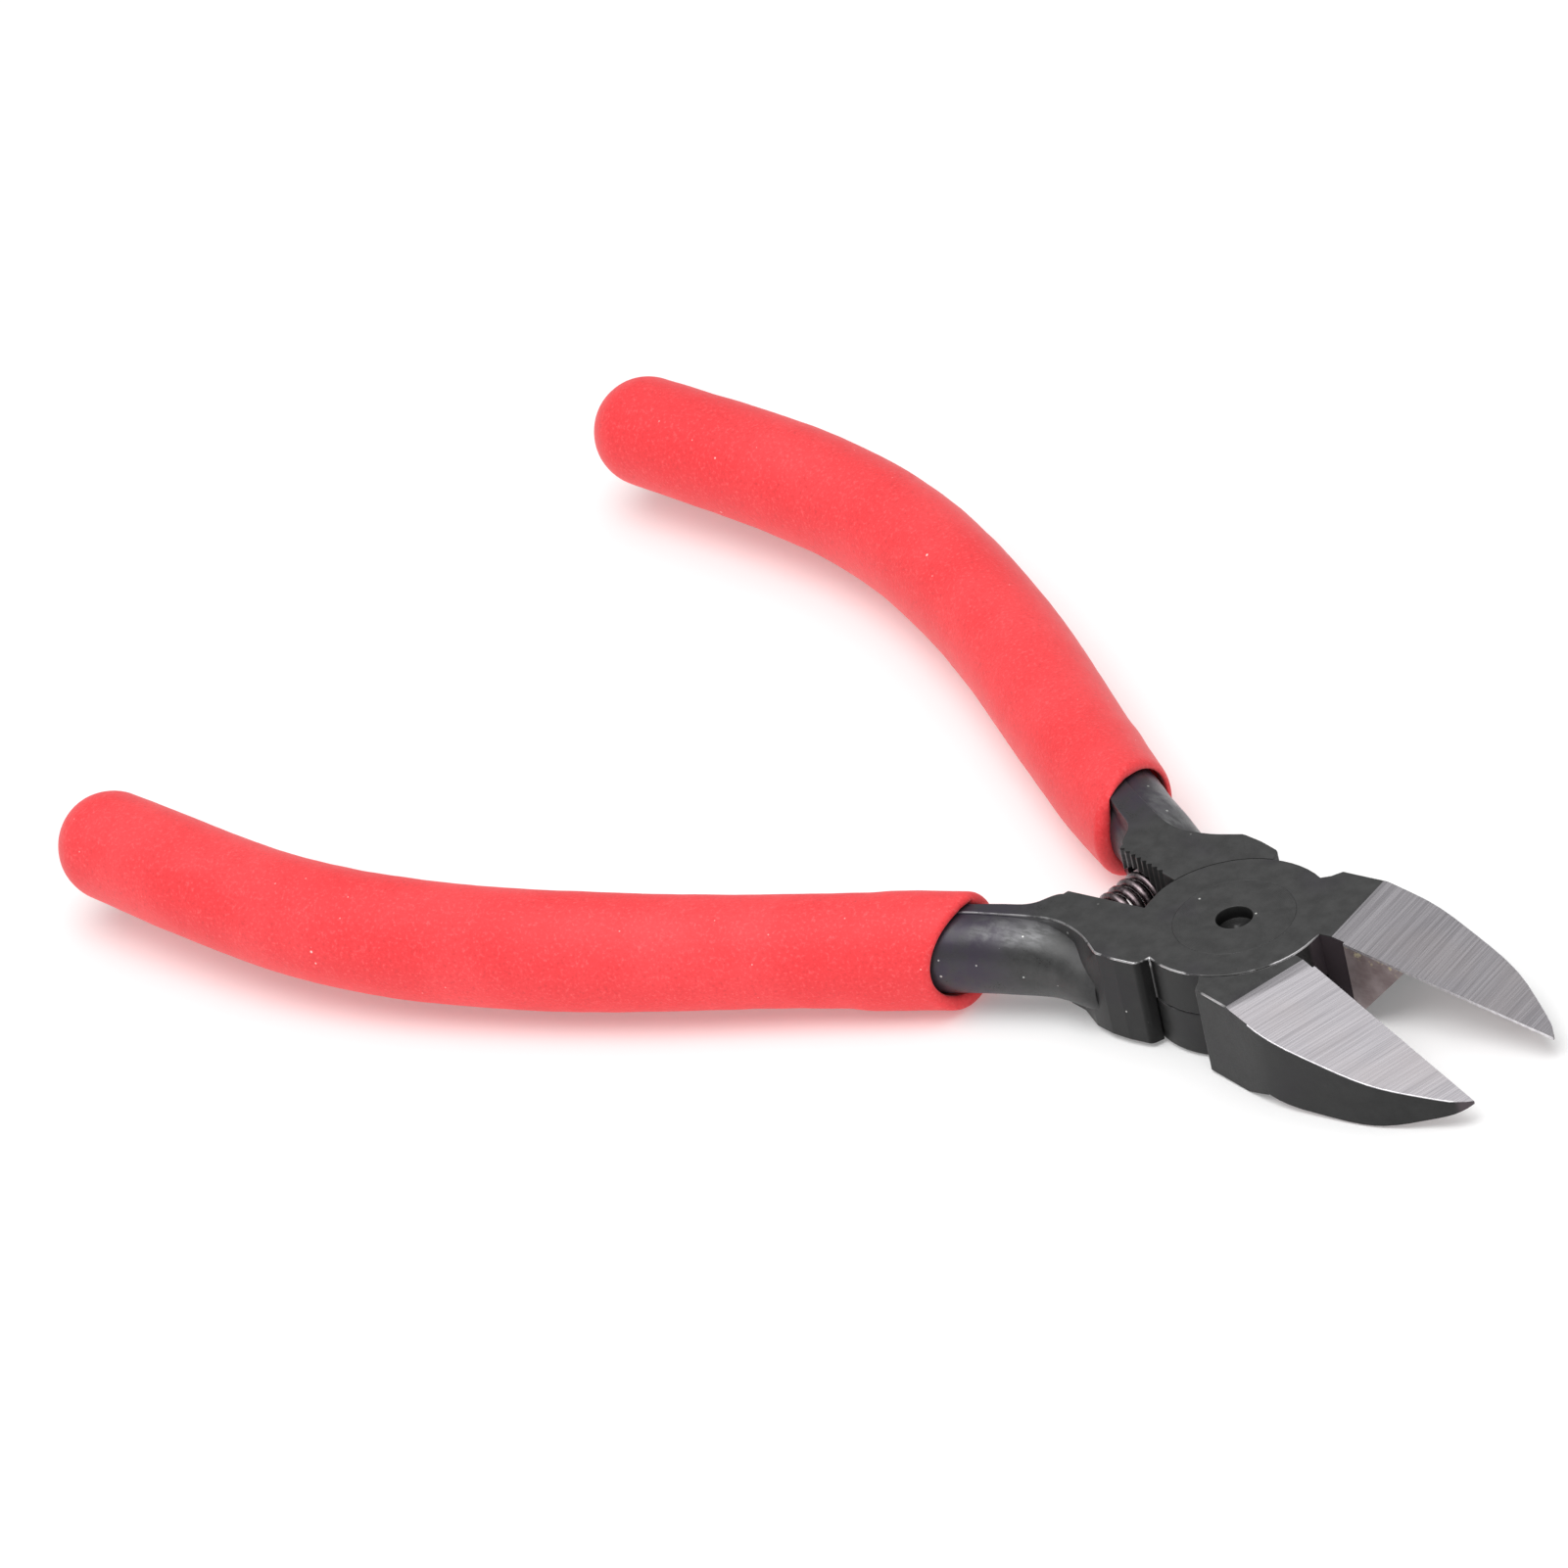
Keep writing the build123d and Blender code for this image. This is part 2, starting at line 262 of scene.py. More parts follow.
def brown_layers(m):
    """Colour and roughness of the ground walls in the throat, left brownish by heat treatment."""
    lines = m.noise(1.0, 3.0, 0.6, stretch=(0.5, 0.5, 4.0))
    stain = m.noise(0.4, 4.0, 0.55)
    colour = m.blend(m.band(stain, 0.35, 0.65), (0.36, 0.285, 0.285, 1), (0.56, 0.48, 0.485, 1))
    colour = m.blend(m.band(lines, 0.4, 0.7, 0, 0.25), colour, (0.62, 0.55, 0.54, 1))
    return colour, m.band(lines, 0.3, 0.7, 0.40, 0.5)


def cut_steel():
    """The hollows under the cutting edges."""
    m = Material("cut_steel", Metallic=0.9)
    return m.finish(*brown_layers(m))


def edge_steel():
    """The inner side of each jaw: a narrow honed land along the edge, over the brownish wall."""
    m = Material("edge_steel", Metallic=0.7)
    along, _, up = m.axes()
    fall = math.tan(SLOPE)
    slope_top = m.math("MULTIPLY_ADD", along, -fall, HEAD_TOP + SLOPE_START * fall)
    below = m.math("SUBTRACT", slope_top, up)
    land = m.band(below, EDGE_LAND + 0.05, EDGE_LAND - 0.05)
    honing = m.noise(1.0, stretch=(2.0, 1, 1))
    honed = m.blend(m.band(honing, 0.3, 0.7), (0.58, 0.56, 0.59, 1), (0.80, 0.78, 0.80, 1))
    colour, rough = brown_layers(m)
    glints = m.both(m.band(m.noise(1.1, 3.0, 0.6), 0.56, 0.64), m.band(below, 1.5, 0.7))
    colour = m.blend(glints, colour, (0.86, 0.77, 0.55, 1))
    colour = m.blend(land, colour, honed)
    return m.finish(colour, m.math("SUBTRACT", rough, m.both(land, 0.15)))


def rivet_steel():
    """The rivet's heads, turned and blackened with the head of the tool, and its dimple, with
    painted shade inside and a painted glint on its floor.
    """
    m = Material("rivet_steel", **OXIDE_GLOSS)
    colour, rough, height = oxide_layers(m)
    x, y, up = m.axes()
    radius = m.math("SQRT", m.math("ADD", m.math("POWER", x, 2.0), m.math("POWER", y, 2.0)))
    # painted shade: the dimple's walls and floor darkened to near black
    dimple_painted_shade = m.band(up, *DIMPLE_DEPTH)
    colour = m.blend(dimple_painted_shade, colour, grey(0.012))
    # painted highlight: a lighter glint on the dimple's floor
    glint = m.both(m.band(m.noise(0.9), 0.5, 0.6), m.band(radius, *DIMPLE_FLOOR))
    colour = m.blend(m.both(glint, dimple_painted_shade), colour, grey(0.10))
    rings = m.math("SINE", m.both(radius, 38.0))
    return m.finish(colour, rough, m.math("MULTIPLY_ADD", rings, 0.25, height), 0.012)


def spring_wire():
    m = Material("spring_wire", Metallic=1.0)
    drawn = m.noise(2.2, 4.0, 0.6)
    colour = m.blend(m.band(drawn, 0.3, 0.7), (0.12, 0.09, 0.10, 1), (0.27, 0.225, 0.235, 1))
    return m.finish(colour, m.band(drawn, 0.3, 0.7, 0.22, 0.36), drawn, 0.01)


def red_sleeve():
    """Soft matte dipped plastic with a fine grain and a little dust."""
    m = Material("red_sleeve", Sheen_Weight=0.15, Sheen_Roughness=0.4, Subsurface_Weight=0.06,
                 Subsurface_Scale=0.002, Subsurface_Radius=(1.0, 0.2, 0.2), Specular_IOR_Level=0.42)
    cloud = m.noise(0.09, 3.0, 0.55)
    grain = m.noise(3.0, 4.0, 0.65)
    fine = m.noise(9.0, 2.0, 0.6)
    colour = m.blend(m.band(cloud, 0.35, 0.68), (0.90, 0.042, 0.050, 1), (0.955, 0.061, 0.070, 1))
    colour = m.blend(m.band(grain, 0.5, 0.72, 0, 0.55), colour, (0.97, 0.15, 0.16, 1))
    colour = m.blend(m.band(grain, 0.48, 0.26, 0, 0.5), colour, (0.66, 0.024, 0.03, 1))
    colour = m.blend(m.specks(2.6, 0.14, 0.16, 1.0), colour, (0.98, 0.62, 0.6, 1))
    colour = m.blend(m.specks(0.9, 0.1, 0.09, 5.0), colour, (0.98, 0.36, 0.36, 1))
    rough = m.math("ADD", m.band(grain, 0.3, 0.7, 0.56, 0.68), m.band(fine, 0.3, 0.7, -0.03, 0.03))
    return m.finish(colour, rough, m.math("MULTIPLY_ADD", fine, 0.5, grain), 0.05)


def floor_paper():
    """Plain pale studio paper. A little of its own light keeps the shadows soft."""
    m = Material("floor_paper", Base_Color=grey(0.82), Roughness=0.85, Specular_IOR_Level=0.2,
                 Emission_Color=grey(1), Emission_Strength=0.2)
    return m.data


OXIDE, WORN, GROUND, CUT, EDGE = range(5)
STEELS = [black_oxide(), worn_edge(), ground_steel(), cut_steel(), edge_steel()]


# ---------------------------------------------------------------- making pieces

WELD = 0.0005  # mm
FLAT_ANGLE, HARD_ANGLE, CREASE_ANGLE = 0.3, 28, 35  # degrees
TOLERANCE = 0.15
EDGE_BREAK, FLANK_BREAK, FINE_BREAK = 0.14, 0.08, 0.05  # widths of the broken edges
SLEEVES_COVER, BARS_START = -32, -10.5  # x of the parts hidden in the sleeves, and of the bars
GROOVES_END, GROOVES_REACH = -18, 1.8
JAW_START, THROAT_START, EDGE_START = 5, 8, 11.8
CUT_WITHIN, WALL_WITHIN = 0.35, 0.2  # of the middle plane: the cutting edges, their walls
TIP_SPARED = 1.2  # of the flank's bright edge


def open_turn(body):
    """From mm with the tool closed to metres with it open."""
    return Matrix.Rotation(TURN[body], 4, "Z") @ Matrix.Scale(MM, 4)


def stamp_places(mesh, to_closed):
    """Keeps each point's closed-tool place in mm on the mesh, for the materials."""
    places = mesh.attributes.new("closed_mm", "FLOAT_VECTOR", "POINT")
    values = np.array([to_closed @ v.co for v in mesh.vertices], np.float32)
    places.data.foreach_set("vector", values.ravel())


def add_piece(name, mesh, body, node, blended=False):
    piece = bpy.data.objects.new(name, mesh)
    bpy.context.scene.collection.objects.link(piece)
    if not blended:
        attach(piece, body)
    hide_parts(node)
    return piece


def sharp(edge, limit):
    return len(edge.link_faces) == 2 and edge.calc_face_angle(0) > math.radians(limit)


def bevel(bm, edges, width, material):
    bmesh.ops.bevel(bm, geom=edges, offset=width, offset_type="OFFSET", segments=3, profile=0.5,
                    affect="EDGES", clamp_overlap=False, material=material, loop_slide=True)


def steel_piece(name, node, body, groups, paint=None):
    """A CAD solid with its flat faces made whole, its hard edges broken, its faces painted by kind.
    groups is (width in mm, material, test of an edge) in the order that they are cut."""
    to_closed = open_turn(body).inverted() if body else Matrix.Scale(1 / MM, 4)
    bm = bmesh.new()
    bm.from_mesh(frame["nodes"][node].data)
    bm.transform(to_closed)
    bmesh.ops.remove_doubles(bm, verts=bm.verts, dist=WELD)
    bmesh.ops.dissolve_degenerate(bm, edges=bm.edges, dist=WELD)
    bmesh.ops.dissolve_limit(bm, verts=bm.verts, edges=bm.edges, use_dissolve_boundaries=False,
                             angle_limit=math.radians(FLAT_ANGLE))
    bm.normal_update()
    for face in bm.faces:
        face.material_index = paint(face) if paint else OXIDE
    for width, material, test in groups:
        chosen = [e for e in bm.edges if sharp(e, HARD_ANGLE) and test(e)]
        bevel(bm, chosen, width, material)
        bm.normal_update()
    for face in bm.faces:
        face.smooth = True
    bmesh.ops.triangulate(bm, faces=[f for f in bm.faces if len(f.verts) > 4])
    for edge in bm.edges:
        edge.smooth = not sharp(edge, CREASE_ANGLE)
    mesh = bpy.data.meshes.new(name)
    bm.transform(to_closed.inverted())
    bm.to_mesh(mesh)
    bm.free()
    stamp_places(mesh, to_closed)
    for steel in STEELS:
        mesh.materials.append(steel)
    piece = add_piece(name, mesh, body or "upper", node)
    piece.modifiers.new("weighted_normals", "WEIGHTED_NORMAL").keep_sharp = True
    return piece


def spots(edge):
    return [v.co for v in edge.verts]


def on_circle(edge, radius):
    return all(abs(math.hypot(p.x, p.y) - radius) < TOLERANCE for p in spots(edge))


def near_rivet(edge):
    return on_circle(edge, RIVET_RADIUS)


def at_hidden_lap(edge):
    return on_circle(edge, LAP_RADIUS) and all(p.y > 0 for p in spots(edge))


def is_ground(face):
    normal = face.normal
    return normal.x > math.sin(SLOPE) - 0.01 and abs(normal.y) < 0.01 and normal.z > 0.9


def near_ground(edge):
    return any(is_ground(f) for f in edge.link_faces)


def at_cutting_edge(edge):
    return all(abs(p.y) < CUT_WITHIN and p.x > JAW_START for p in spots(edge))


def at_ground_flank(edge):
    return (near_ground(edge) and not at_cutting_edge(edge)
            and all(FLANK_START < p.x < JAW_TIP - TIP_SPARED for p in spots(edge)))


def in_undercut(edge):
    return any(-0.99 < f.normal.z < -0.3 and f.calc_center_median().x > THROAT_START
               for f in edge.link_faces)


def in_stop_grooves(edge):
    return all(abs(p.y) < GROOVES_REACH and GROOVES_END < p.x < BARS_START for p in spots(edge))


def low_on_handle(edge):
    return any(p.x < BARS_START and p.z < HEAD_TOP - 0.01 for p in spots(edge))


LEFT_ALONE = (near_rivet, near_ground, at_cutting_edge, in_undercut, in_stop_grooves, low_on_handle,
              at_hidden_lap)


def ordinary(edge):
    return (all(p.x > SLEEVES_COVER for p in spots(edge))
            and not any(test(edge) for test in LEFT_ALONE))


def paint_half(face):
    middle = face.calc_center_median()
    if is_ground(face):
        return GROUND
    if middle.x > EDGE_START and abs(middle.y) < WALL_WITHIN and abs(face.normal.y) > 0.9:
        return EDGE
    if middle.x > THROAT_START and face.normal.z < -0.3 and abs(face.normal.y) > 0.3:
        return CUT
    return OXIDE


half_groups = [(FINE_BREAK, OXIDE, near_rivet), (EDGE_BREAK, WORN, ordinary),
               (FLANK_BREAK, EDGE, at_ground_flank)]
rivet_groups = [(FINE_BREAK, OXIDE, lambda edge: True)]
steel_piece("upper_half_forging", "upper_half", "upper", half_groups, paint_half)
steel_piece("lower_half_forging", "lower_half", "lower", half_groups, paint_half)
rivet = steel_piece("rivet_turned", "pivot_rivet", None, rivet_groups)
rivet.data.materials[OXIDE] = rivet_steel()


# ---------------------------------------------------------------- return spring

def smooth(x):
    x = min(max(x, 0.0), 1.0)
    return x * x * (3 - 2 * x)


def tube(path, radius, around):
    """Closed round tube along points, as (vertices, faces)."""
    points = [Vector(p) for p in path]
    verts, faces = [], []
    side = None
    for i, point in enumerate(points):
        along = (points[min(i + 1, len(points) - 1)] - points[max(i - 1, 0)]).normalized()
        side = side or along.orthogonal()
        side = (side - along * side.dot(along)).normalized()
        other = along.cross(side)
        for k in range(around):
            a = 2 * math.pi * k / around
            verts.append(point + radius * (math.cos(a) * side + math.sin(a) * other))
    for i in range(len(points) - 1):
        for k in range(around):
            a, b = i * around + k, i * around + (k + 1) % around
            faces.append((a, b, b + around, a + around))
    faces.append(tuple(reversed(range(around))))
    last = (len(points) - 1) * around
    faces.append(tuple(range(last, last + around)))
    return verts, faces


SPRING_X, SPRING_REACH, COIL_RADIUS, WIRE_RADIUS = -14.6, 5.43, 2.25, 0.42
SPRING_TURNS, END_PITCH = 9.6, 0.87
STEPS_PER_TURN, WIRE_SIDES, FIRST_ANGLE = 28, 14, 0.6


def return_spring():
    """Coil across the tool with one closed turn at each end."""
    open_pitch = (2 * SPRING_REACH - 2 * END_PITCH) / (SPRING_TURNS - 2)
    path, y, step = [], -SPRING_REACH, 1 / STEPS_PER_TURN
    for i in range(round(SPRING_TURNS / step) + 1):
        turn = i * step
        angle = 2 * math.pi * turn + FIRST_ANGLE
        path.append((SPRING_X + COIL_RADIUS * math.cos(angle), y,
                     MID_Z + COIL_RADIUS * math.sin(angle)))
        from_end = min(turn, SPRING_TURNS - turn)
        y += step * (END_PITCH + (open_pitch - END_PITCH) * smooth((from_end - 0.75) / 0.5))
    verts, faces = tube(path, WIRE_RADIUS, WIRE_SIDES)
    mesh = bpy.data.meshes.new("return_spring_coil")
    mesh.from_pydata([v * MM for v in verts], [], faces)
    mesh.shade_smooth()
    stamp_places(mesh, Matrix.Scale(1 / MM, 4))
    mesh.materials.append(spring_wire())
    piece = add_piece("return_spring_coil", mesh, None, "return_spring", True)
    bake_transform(piece)


return_spring()


# ---------------------------------------------------------------- grips

SPINE = np.array([  # middle line of the left sleeve, in plan
    (-18.6, 5.3), (-25.9, 7.45), (-45.5, 14.25), (-65.5, 20.5), (-86.4, 23.2), (-99, 21.8),
    (-112.7, 19.1)])
GRIP_SIZES = np.array([  # share of the spine, half width, half height
    (0, 4.75, 5.5), (0.1, 4.95, 5.5), (0.3, 5.3, 5.25), (0.5, 5.3, 5.7), (0.75, 5.4, 5.45),
    (1, 5.15, 5.15)])
LEFT_MOUTH = [(-26.9, 13.5), (-24.8, 6.5), (-22.2, 0.0)]  # arc of the slanted mouth in plan
RIGHT_MOUTH = [(-26.8, 13.5), (-25.0, 6.8), (-24.9, 0.0)]
BAR_CENTRE, BAR_SIZE = (-0.5, 0.35), (3.6, 4.0)  # of the bar at the mouth, from the sleeve's middle
STRIP_TOP, STRIP_RIDGE = 4.55, -0.4  # of the flat strip on the bar, the same way
LEFT_STRIP, RIGHT_STRIP = 2.2, 1.2  # its inner edge
HUG = 0.05  # gap round the bar inside the mouth
THINNEST = 0.3  # wall at the mouth
AROUND, ALONG, LIP_STEPS, DOME_STEPS = 112, 190, 12, 22
LIP, LIP_INSIDE = 1.0, 0.3  # length of the rolled lip, outside and inside its crest
LIP_CREST = 0.3  # share of the wall that lies inside the crest
MOUTH_SWELL, SWELL_END = 0.2, 8.0  # the first 8 mm stand a little proud
SLACK_LENGTH = 12.0
WALL_DEPTH = 3.5  # how far inside the mouth the plastic closes on the bar


def cubic(knots, values):
    """Natural cubic spline through values at knots, as a function."""
    n = len(knots)
    h = np.diff(knots)
    system, right = np.eye(n), np.zeros((n,) + values.shape[1:])
    for i in range(1, n - 1):
        system[i, i - 1:i + 2] = h[i - 1], 2 * (h[i - 1] + h[i]), h[i]
        right[i] = 6 * ((values[i + 1] - values[i]) / h[i] - (values[i] - values[i - 1]) / h[i - 1])
    bend = np.linalg.solve(system, right)

    def at(x):
        i = int(np.clip(np.searchsorted(knots, x) - 1, 0, n - 2))
        a, b = knots[i + 1] - x, x - knots[i]
        return ((bend[i] * a ** 3 + bend[i + 1] * b ** 3) / (6 * h[i])
                + (values[i] / h[i] - bend[i] * h[i] / 6) * a
                + (values[i + 1] / h[i] - bend[i + 1] * h[i] / 6) * b)
    return at


def spine_table(count=600):
    """Evenly spaced points and directions along the left grip's middle line, in plan."""
    knots = np.concatenate([[0], np.cumsum(np.linalg.norm(np.diff(SPINE, axis=0), axis=1))])
    curve = cubic(knots, SPINE)
    fine = np.array([curve(x) for x in np.linspace(0, knots[-1], 4 * count)])
    length = np.concatenate([[0], np.cumsum(np.linalg.norm(np.diff(fine, axis=0), axis=1))])
    even = np.linspace(0, length[-1], count)
    points = np.stack([np.interp(even, length, fine[:, k]) for k in range(2)], axis=1)
    ways = np.gradient(points, axis=0)
    return points, ways / np.linalg.norm(ways, axis=1)[:, None], length[-1]


SPINE_POINTS, SPINE_WAYS, SPINE_LENGTH = spine_table()
half_sizes = cubic(GRIP_SIZES[:, 0], GRIP_SIZES[:, 1:])


def section_point(share, angle, outward=1.0, extra=0.0):
    """Point of the left sleeve's oval at a share of the spine. Angle 0 faces the other handle, and
    outward 0 is the middle of the oval."""
    place = min(max(share, 0.0), 1.0) * (len(SPINE_POINTS) - 1)
    i = min(int(place), len(SPINE_POINTS) - 2)
    f = place - i
    centre = SPINE_POINTS[i] * (1 - f) + SPINE_POINTS[i + 1] * f
    way = SPINE_WAYS[i] * (1 - f) + SPINE_WAYS[i + 1] * f
    across = np.array([-way[1], way[0]]) / np.linalg.norm(way)
    width, height = half_sizes(share) + extra
    flat = centre + across * outward * width * math.cos(angle)
    return Vector((flat[0], flat[1], MID_Z + outward * height * math.sin(angle)))


def mouth_circle(arc):
    (ax, ay), (bx, by), (cx, cy) = arc
    d = 2 * (ax * (by - cy) + bx * (cy - ay) + cx * (ay - by))
    a2, b2, c2 = ax * ax + ay * ay, bx * bx + by * by, cx * cx + cy * cy
    centre = Vector(((a2 * (by - cy) + b2 * (cy - ay) + c2 * (ay - by)) / d,
                     (a2 * (cx - bx) + b2 * (ax - cx) + c2 * (bx - ax)) / d))
    return centre, (centre - Vector((ax, ay))).length


def hugging(strip_edge):
    """How far out the inside of the mouth lies at each angle, as a share of the sleeve's oval, so
    that it follows the oval bar and the flat strip on it."""
    width, height = GRIP_SIZES[0, 1:]
    shares = []
    for k in range(AROUND):
        angle = 2 * math.pi * k / AROUND
        u, w = width * math.cos(angle), height * math.sin(angle)
        a = (u / BAR_SIZE[0]) ** 2 + (w / BAR_SIZE[1]) ** 2
        b = -(u * BAR_CENTRE[0] / BAR_SIZE[0] ** 2 + w * BAR_CENTRE[1] / BAR_SIZE[1] ** 2)
        c = (BAR_CENTRE[0] / BAR_SIZE[0]) ** 2 + (BAR_CENTRE[1] / BAR_SIZE[1]) ** 2 - 1
        oval = (-b + math.sqrt(b * b - a * c)) / a
        side = strip_edge / u if u > 0.01 else STRIP_RIDGE / min(u, -0.01)
        strip = min(STRIP_TOP / w, side) if w > 0.01 else 0
        shares.append(max(oval, strip) + HUG / math.hypot(u, w))
    shares = np.array(shares)
    eased = sum(np.roll(shares, k) for k in range(-4, 5)) / 9
    return np.minimum(np.maximum(shares, eased), 1 - THINNEST / width)


def mouth_share(angle, outward, centre, radius):
    """Where the oval's line at that angle crosses the mouth."""
    ahead = math.copysign(1, centre.length - radius)
    low, high = 0.0, 0.25
    for _ in range(30):
        middle = (low + high) / 2
        point = section_point(middle, angle, outward)
        if ahead * ((point.xy - centre).length - radius) > 0:
            low = middle
        else:
            high = middle
    return (low + high) / 2


def sleeve_rows(arc, strip_edge, slack, seed):
    """Rows of points of the left sleeve, from inside the mouth, out over the lip, along the outside
    and over the domed end, and then the tip. slack flattens the mouth on the inner side."""
    angles = [2 * math.pi * k / AROUND for k in range(AROUND)]
    inner = hugging(strip_edge)
    circle = mouth_circle(arc)
    start = [mouth_share(a, t, *circle) for a, t in zip(angles, inner)]

    def ring(depths, thickness):
        made = []
        for a, s, t, depth in zip(angles, start, inner, depths):
            inner_side = max(math.cos(a), 0)
            extra = MOUTH_SWELL * (1 - smooth((depth - SWELL_END) / 3)) * (1 - inner_side)
            extra -= slack * (1 - smooth(depth / SLACK_LENGTH)) * inner_side
            point = section_point(s + depth / SPINE_LENGTH, a, t + (1 - t) * thickness, extra)
            middle = section_point(s + depth / SPINE_LENGTH, a, 0)
            ripple = uneven(point + seed) * smooth(depth / 4)
            made.append(point + (point - middle).normalized() * ripple)
        return made

    def even_ring(depth, thickness):
        return ring([depth] * AROUND, thickness)

    rows = [even_ring(depth, thickness) for depth, thickness in (
        (WALL_DEPTH, -2.0), (WALL_DEPTH, -0.5), (WALL_DEPTH - 0.3, 0.0), (1.5, 0.0),
        (LIP_INSIDE + 0.3, 0.0))]
    for i in range(LIP_STEPS + 1):  # round the lip, from the inside to the outside
        turn = math.pi * i / LIP_STEPS
        inside = turn < math.pi / 2
        thickness = LIP_CREST - math.cos(turn) * (LIP_CREST if inside else 1 - LIP_CREST)
        rows.append(even_ring((LIP_INSIDE if inside else LIP) * (1 - math.sin(turn)), thickness))
    for i in range(1, ALONG + 1):
        part = (i / ALONG) ** 1.12
        rows.append(ring([LIP + ((1 - s) * SPINE_LENGTH - LIP) * part for s in start], 1.0))
    end_centre = Vector((*SPINE_POINTS[-1], MID_Z))
    way = Vector((*SPINE_WAYS[-1], 0))
    rim = rows[-1]
    radius = GRIP_SIZES[-1][1]
    for i in range(1, DOME_STEPS):
        turn = math.pi / 2 * i / DOME_STEPS
        forward = end_centre + way * radius * math.sin(turn)
        rows.append([forward + (p - end_centre) * math.cos(turn) for p in rim])
    return rows, end_centre + way * radius


def uneven(point):
    """Slight waviness of dipped plastic, in mm."""
    return 0.10 * noise.noise(point * 0.11) + 0.035 * noise.noise(point * 0.45)


def sleeve(name, node, body, mirrored, arc, strip_edge, slack):
    """The left sleeve, or its mirror image for the right handle."""
    rows, tip = sleeve_rows(arc, strip_edge, slack, Vector((0, 40 if mirrored else 0, 0)))
    floor_centre = sum(rows[0], Vector()) / AROUND
    verts = [p for made in rows for p in made] + [floor_centre, tip]
    faces = []
    for i in range(len(rows) - 1):
        for k in range(AROUND):
            a, b = i * AROUND + k, i * AROUND + (k + 1) % AROUND
            faces.append((a, b, b + AROUND, a + AROUND))
    last, low, high = (len(rows) - 1) * AROUND, len(verts) - 2, len(verts) - 1
    for k in range(AROUND):
        faces.append(((k + 1) % AROUND, k, low))
        faces.append((last + k, last + (k + 1) % AROUND, high))
    mesh = bpy.data.meshes.new(name)
    mesh.from_pydata(verts, [], faces)
    if mirrored:
        mesh.transform(Matrix.Scale(-1, 4, (0, 1, 0)))
    bm = bmesh.new()
    bm.from_mesh(mesh)
    bmesh.ops.recalc_face_normals(bm, faces=bm.faces)
    bm.to_mesh(mesh)
    bm.free()
    mesh.transform(open_turn(body))
    mesh.shade_smooth()
    stamp_places(mesh, open_turn(body).inverted())
    mesh.materials.append(SLEEVE_PLASTIC)
    return add_piece(name, mesh, body, node)


SLEEVE_PLASTIC = red_sleeve()
sleeve("left_sleeve", "left_grip", "lower", False, LEFT_MOUTH, LEFT_STRIP, 0.45)
sleeve("right_sleeve", "right_grip", "upper", True, RIGHT_MOUTH, RIGHT_STRIP, 0.0)


# ---------------------------------------------------------------- studio

FLOOR_REACH, FLOOR_GAP = 4.0, 0.00002  # metres
TENT = {"From Min": 0.785, "From Max": 0.875, "To Min": 0.39, "To Max": 1.36}  # strength by height


def floor():
    """Pale floor, tipped so that the head's underside and the sleeves' bellies touch it."""
    points = np.concatenate([
        np.array([v.co for v in o.data.vertices], float) for o in frame["nodes"].values()])
    front = points[points[:, 2] < 1e-5][:, 0].max()
    behind = points[points[:, 0] < front - 0.02]
    slope = (behind[:, 2] / (behind[:, 0] - front)).max()
    mesh = bpy.data.meshes.new("studio_floor")
    corners = [(x * FLOOR_REACH, y * FLOOR_REACH) for x, y in ((-1, -1), (1, -1), (1, 1), (-1, 1))]
    verts = [(x, y, slope * (x - front) - FLOOR_GAP) for x, y in corners]
    mesh.from_pydata(verts, [], [(0, 1, 2, 3)])
    mesh.materials.append(floor_paper())
    made = bpy.data.objects.new("studio_floor", mesh)
    bpy.context.scene.collection.objects.link(made)


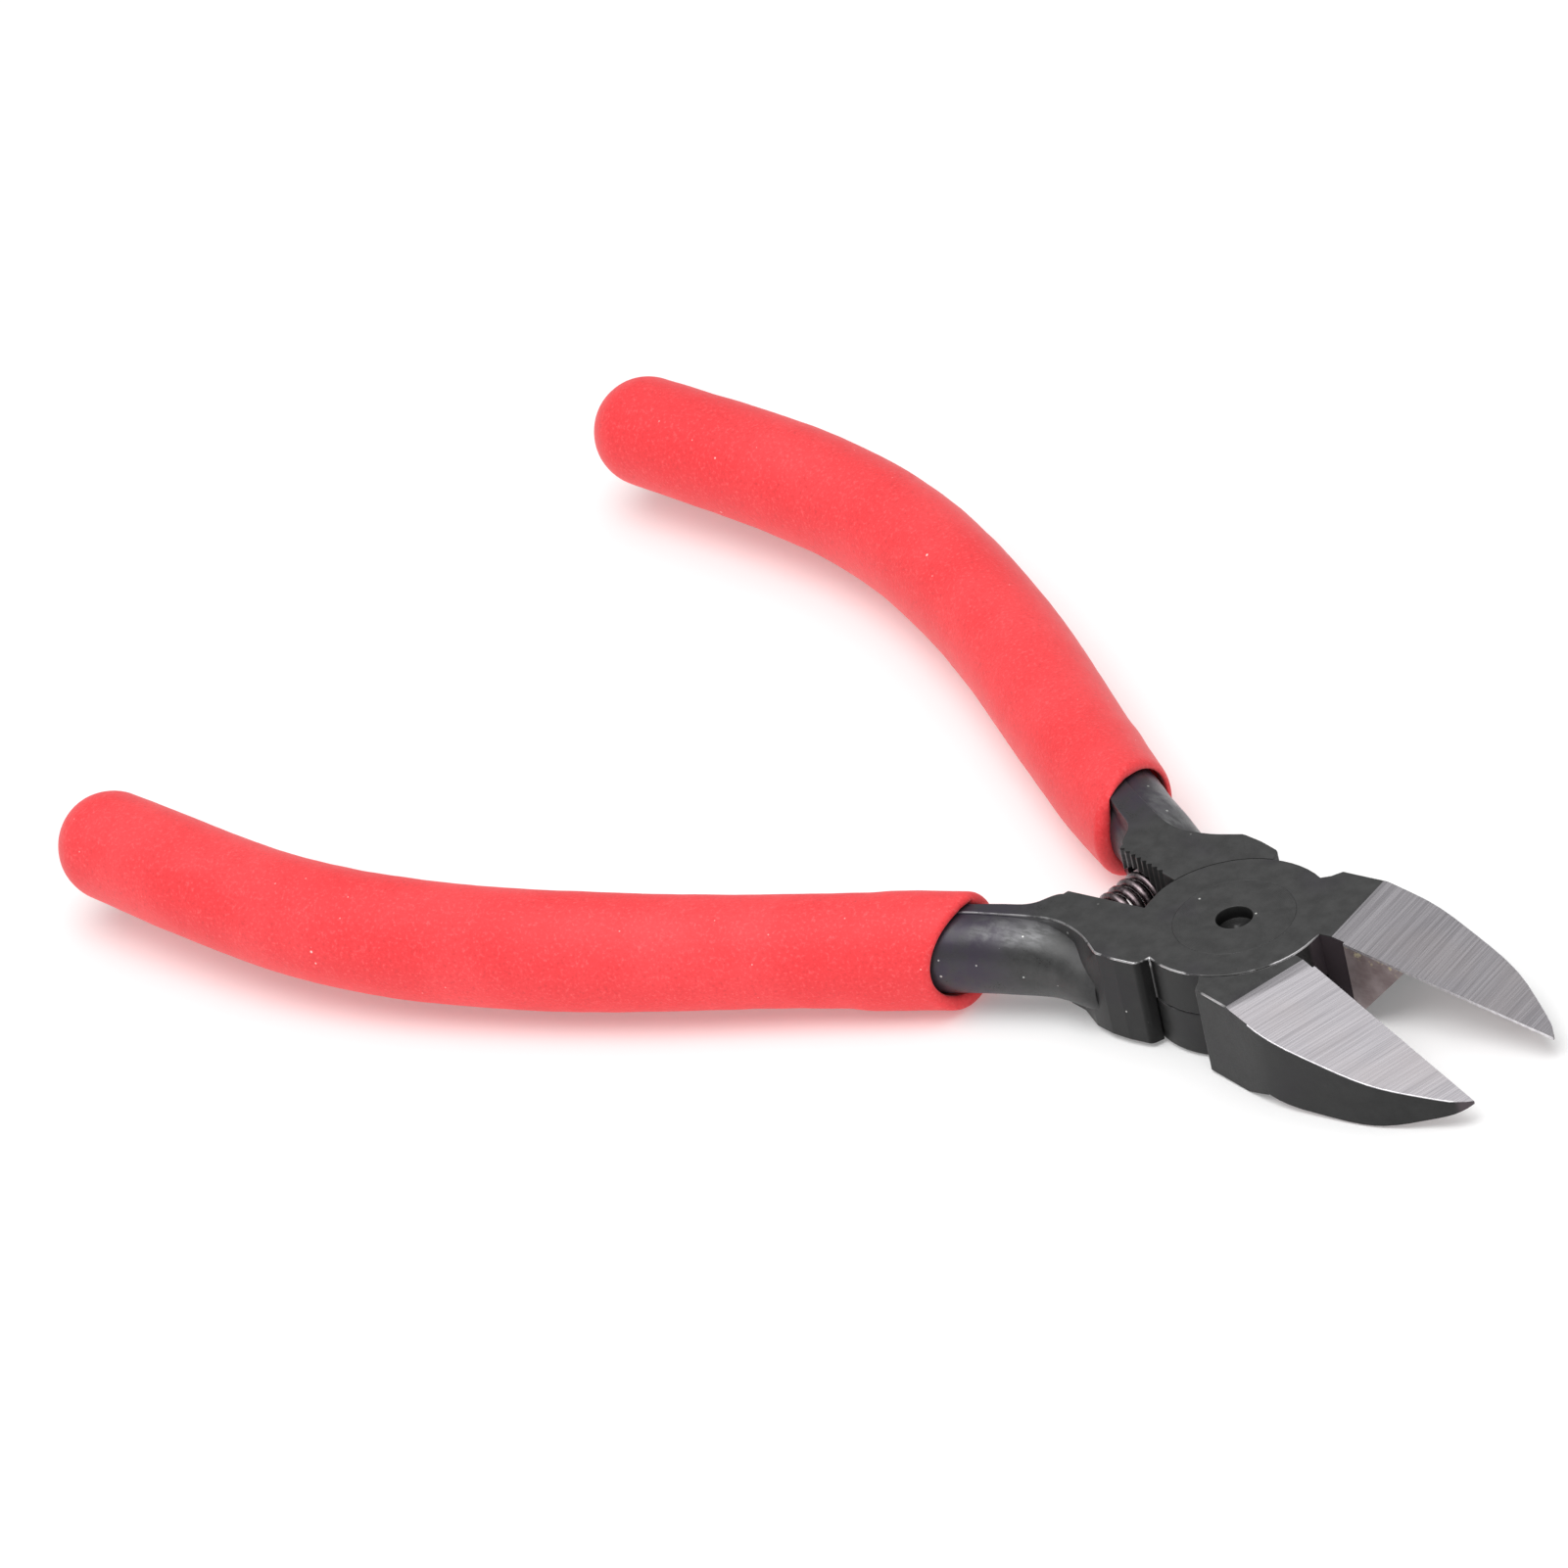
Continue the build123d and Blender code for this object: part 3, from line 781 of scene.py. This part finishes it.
def soft_light(name, place, aim, size, power):
    light = bpy.data.lights.new(name, "AREA")
    light.shape, light.size, light.energy = "DISK", size, power
    lamp = bpy.data.objects.new(name, light)
    lamp.location = place
    lamp.rotation_mode = "QUATERNION"
    lamp.rotation_quaternion = (Vector(aim) - Vector(place)).to_track_quat("-Z", "Y")
    bpy.context.scene.collection.objects.link(lamp)


def world():
    """Studio tent, brighter overhead."""
    sky = bpy.data.worlds.new("studio_tent")
    sky.use_nodes = True
    tree = sky.node_tree
    back = tree.nodes["Background"]
    back.inputs["Color"].default_value = (1, 1, 1, 1)
    where = tree.nodes.new("ShaderNodeTexCoord")
    split = tree.nodes.new("ShaderNodeSeparateXYZ")
    ramp = tree.nodes.new("ShaderNodeMapRange")
    ramp.interpolation_type = "SMOOTHSTEP"
    for key, value in TENT.items():
        ramp.inputs[key].default_value = value
    tree.links.new(where.outputs["Generated"], split.inputs[0])
    tree.links.new(split.outputs[2], ramp.inputs["Value"])
    tree.links.new(ramp.outputs[0], back.inputs["Strength"])
    bpy.context.scene.world = sky


def camera():
    """Long lens from the front right, looking down at 34 degrees, rolled."""
    azimuth, elevation, roll = (math.radians(a) for a in (49.061, 33.868, -12.302))
    side, lift, distance, lens = 0.042517, -0.019478, 3.564412, 899.4
    level_reach = math.cos(elevation)
    back = Vector((math.sin(azimuth) * level_reach, -math.cos(azimuth) * level_reach,
                   math.sin(elevation)))
    level = Vector((math.cos(azimuth), math.sin(azimuth), 0))
    up = back.cross(level)
    right = math.cos(roll) * level + math.sin(roll) * up
    top = -math.sin(roll) * level + math.cos(roll) * up
    data = bpy.data.cameras.new("photo_camera")
    data.sensor_width, data.lens = 36, lens
    data.clip_start, data.clip_end = 0.1, 100
    made = bpy.data.objects.new("photo_camera", data)
    turn = Matrix((right, top, back)).transposed().to_4x4()
    made.matrix_world = Matrix.Translation(-side * right - lift * top + distance * back) @ turn
    bpy.context.scene.collection.objects.link(made)
    bpy.context.scene.camera = made


floor()
world()
soft_light("key_softbox", (0.0, -0.45, 1.2), (-0.03, 0, 0), 1.2, 9.0)
soft_light("front_fill", (0.9, -0.9, 0.45), (-0.02, 0, 0), 0.7, 1.8)
camera()
bpy.context.scene.view_settings.view_transform = "Standard"
